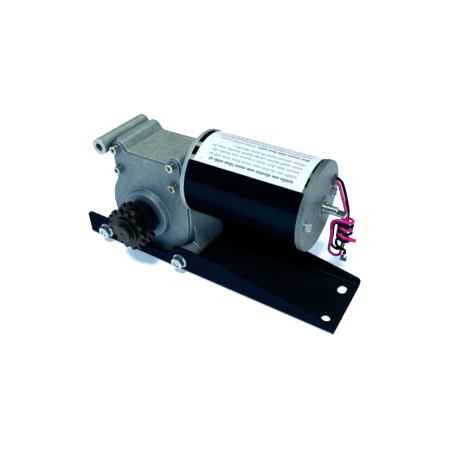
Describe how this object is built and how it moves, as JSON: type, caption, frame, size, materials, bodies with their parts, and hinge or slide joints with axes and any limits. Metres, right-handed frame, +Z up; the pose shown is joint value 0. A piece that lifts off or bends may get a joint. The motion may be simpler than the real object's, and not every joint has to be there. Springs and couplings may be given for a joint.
{
  "type": "worm gearmotor on a channel bracket",
  "caption": "Permanent-magnet DC worm gearmotor with a double-row chain sprocket, bolted in a folded channel bracket, with a half-cut shaft tail and two loose leads.",
  "frame": {"origin": "on the bracket's bottom face, straight below the output shaft, in the plane through the motor's axis", "axes": "+X along the motor axis from the gear housing to the end cap, -Y towards the sprocket, +Z up from the bracket"},
  "size_m": [0.3, 0.117, 0.145],
  "materials": {
    "bracket_paint": "satin black paint",
    "bright_zinc": "bright zinc plating",
    "yellow_zinc": "yellow zinc plating",
    "cast_aluminium": "as cast, tumbled",
    "gasket_paper": "matte",
    "black_oxide_steel": "oiled black oxide",
    "spring_steel": "tempered",
    "black_rubber": "matte",
    "bronze": "turned",
    "shaft_steel": "ground",
    "bearing_steel": "ground",
    "core_steel": "stacked laminations",
    "copper": "enamelled",
    "can_paint": "gloss black paint",
    "ferrite": "matte",
    "label_film": "satin",
    "phenolic": "matte",
    "brass": "stamped",
    "carbon": "matte",
    "red_pvc": "semi-gloss",
    "black_pvc": "semi-gloss",
    "tinned_terminal": "tinned"
  },
  "bodies": {
    "casing": {"bracket_floor": "bracket_paint", "bracket_front_flange": "bracket_paint", "bracket_rear_flange": "bracket_paint", "bracket_bolts": "bright_zinc", "bracket_nuts": "yellow_zinc", "gear_housing": "cast_aluminium", "cover_gasket": "gasket_paper", "front_cover": "cast_aluminium", "cover_screws": "black_oxide_steel", "cover_lock_washers": "spring_steel", "shaft_seal": "black_rubber", "output_bush_front": "bronze", "output_bush_rear": "bronze", "worm_end_bush": "bronze", "front_bearing": "bearing_steel", "rear_bearing": "bearing_steel", "motor_can": "can_paint", "field_magnets": "ferrite", "nameplate_label": "label_film", "brush_plate": "phenolic", "brush_holders": "brass", "brushes": "carbon", "brush_springs": "spring_steel", "end_cap": "cast_aluminium", "end_cap_screws": "bright_zinc", "lead_grommet": "black_rubber", "lead_red": "red_pvc", "lead_black": "black_pvc", "lead_sleeve": "red_pvc", "lead_terminal": "tinned_terminal"},
    "output": {"output_shaft": "shaft_steel", "wheel_key": "shaft_steel", "worm_wheel": "bronze", "sprocket": "black_oxide_steel", "sprocket_key": "shaft_steel", "sprocket_screw": "yellow_zinc", "retaining_ring": "spring_steel"},
    "rotor": {"worm": "shaft_steel", "armature_shaft": "shaft_steel", "armature_core": "core_steel", "armature_windings": "copper", "commutator": "copper"}
  },
  "joints": [
    {"name": "rotor_spin", "type": "hinge", "parent": "casing", "child": "rotor", "pos_m": [0, 0, 0.103], "axis": [1, 0, 0], "continuous": true},
    {"name": "output_spin", "type": "hinge", "parent": "casing", "child": "output", "pos_m": [0, 0, 0.053], "axis": [0, 1, 0], "continuous": true}
  ],
  "couplings": [
    {"joint": "output_spin", "follows": "rotor_spin", "ratio": -0.025}
  ]
}
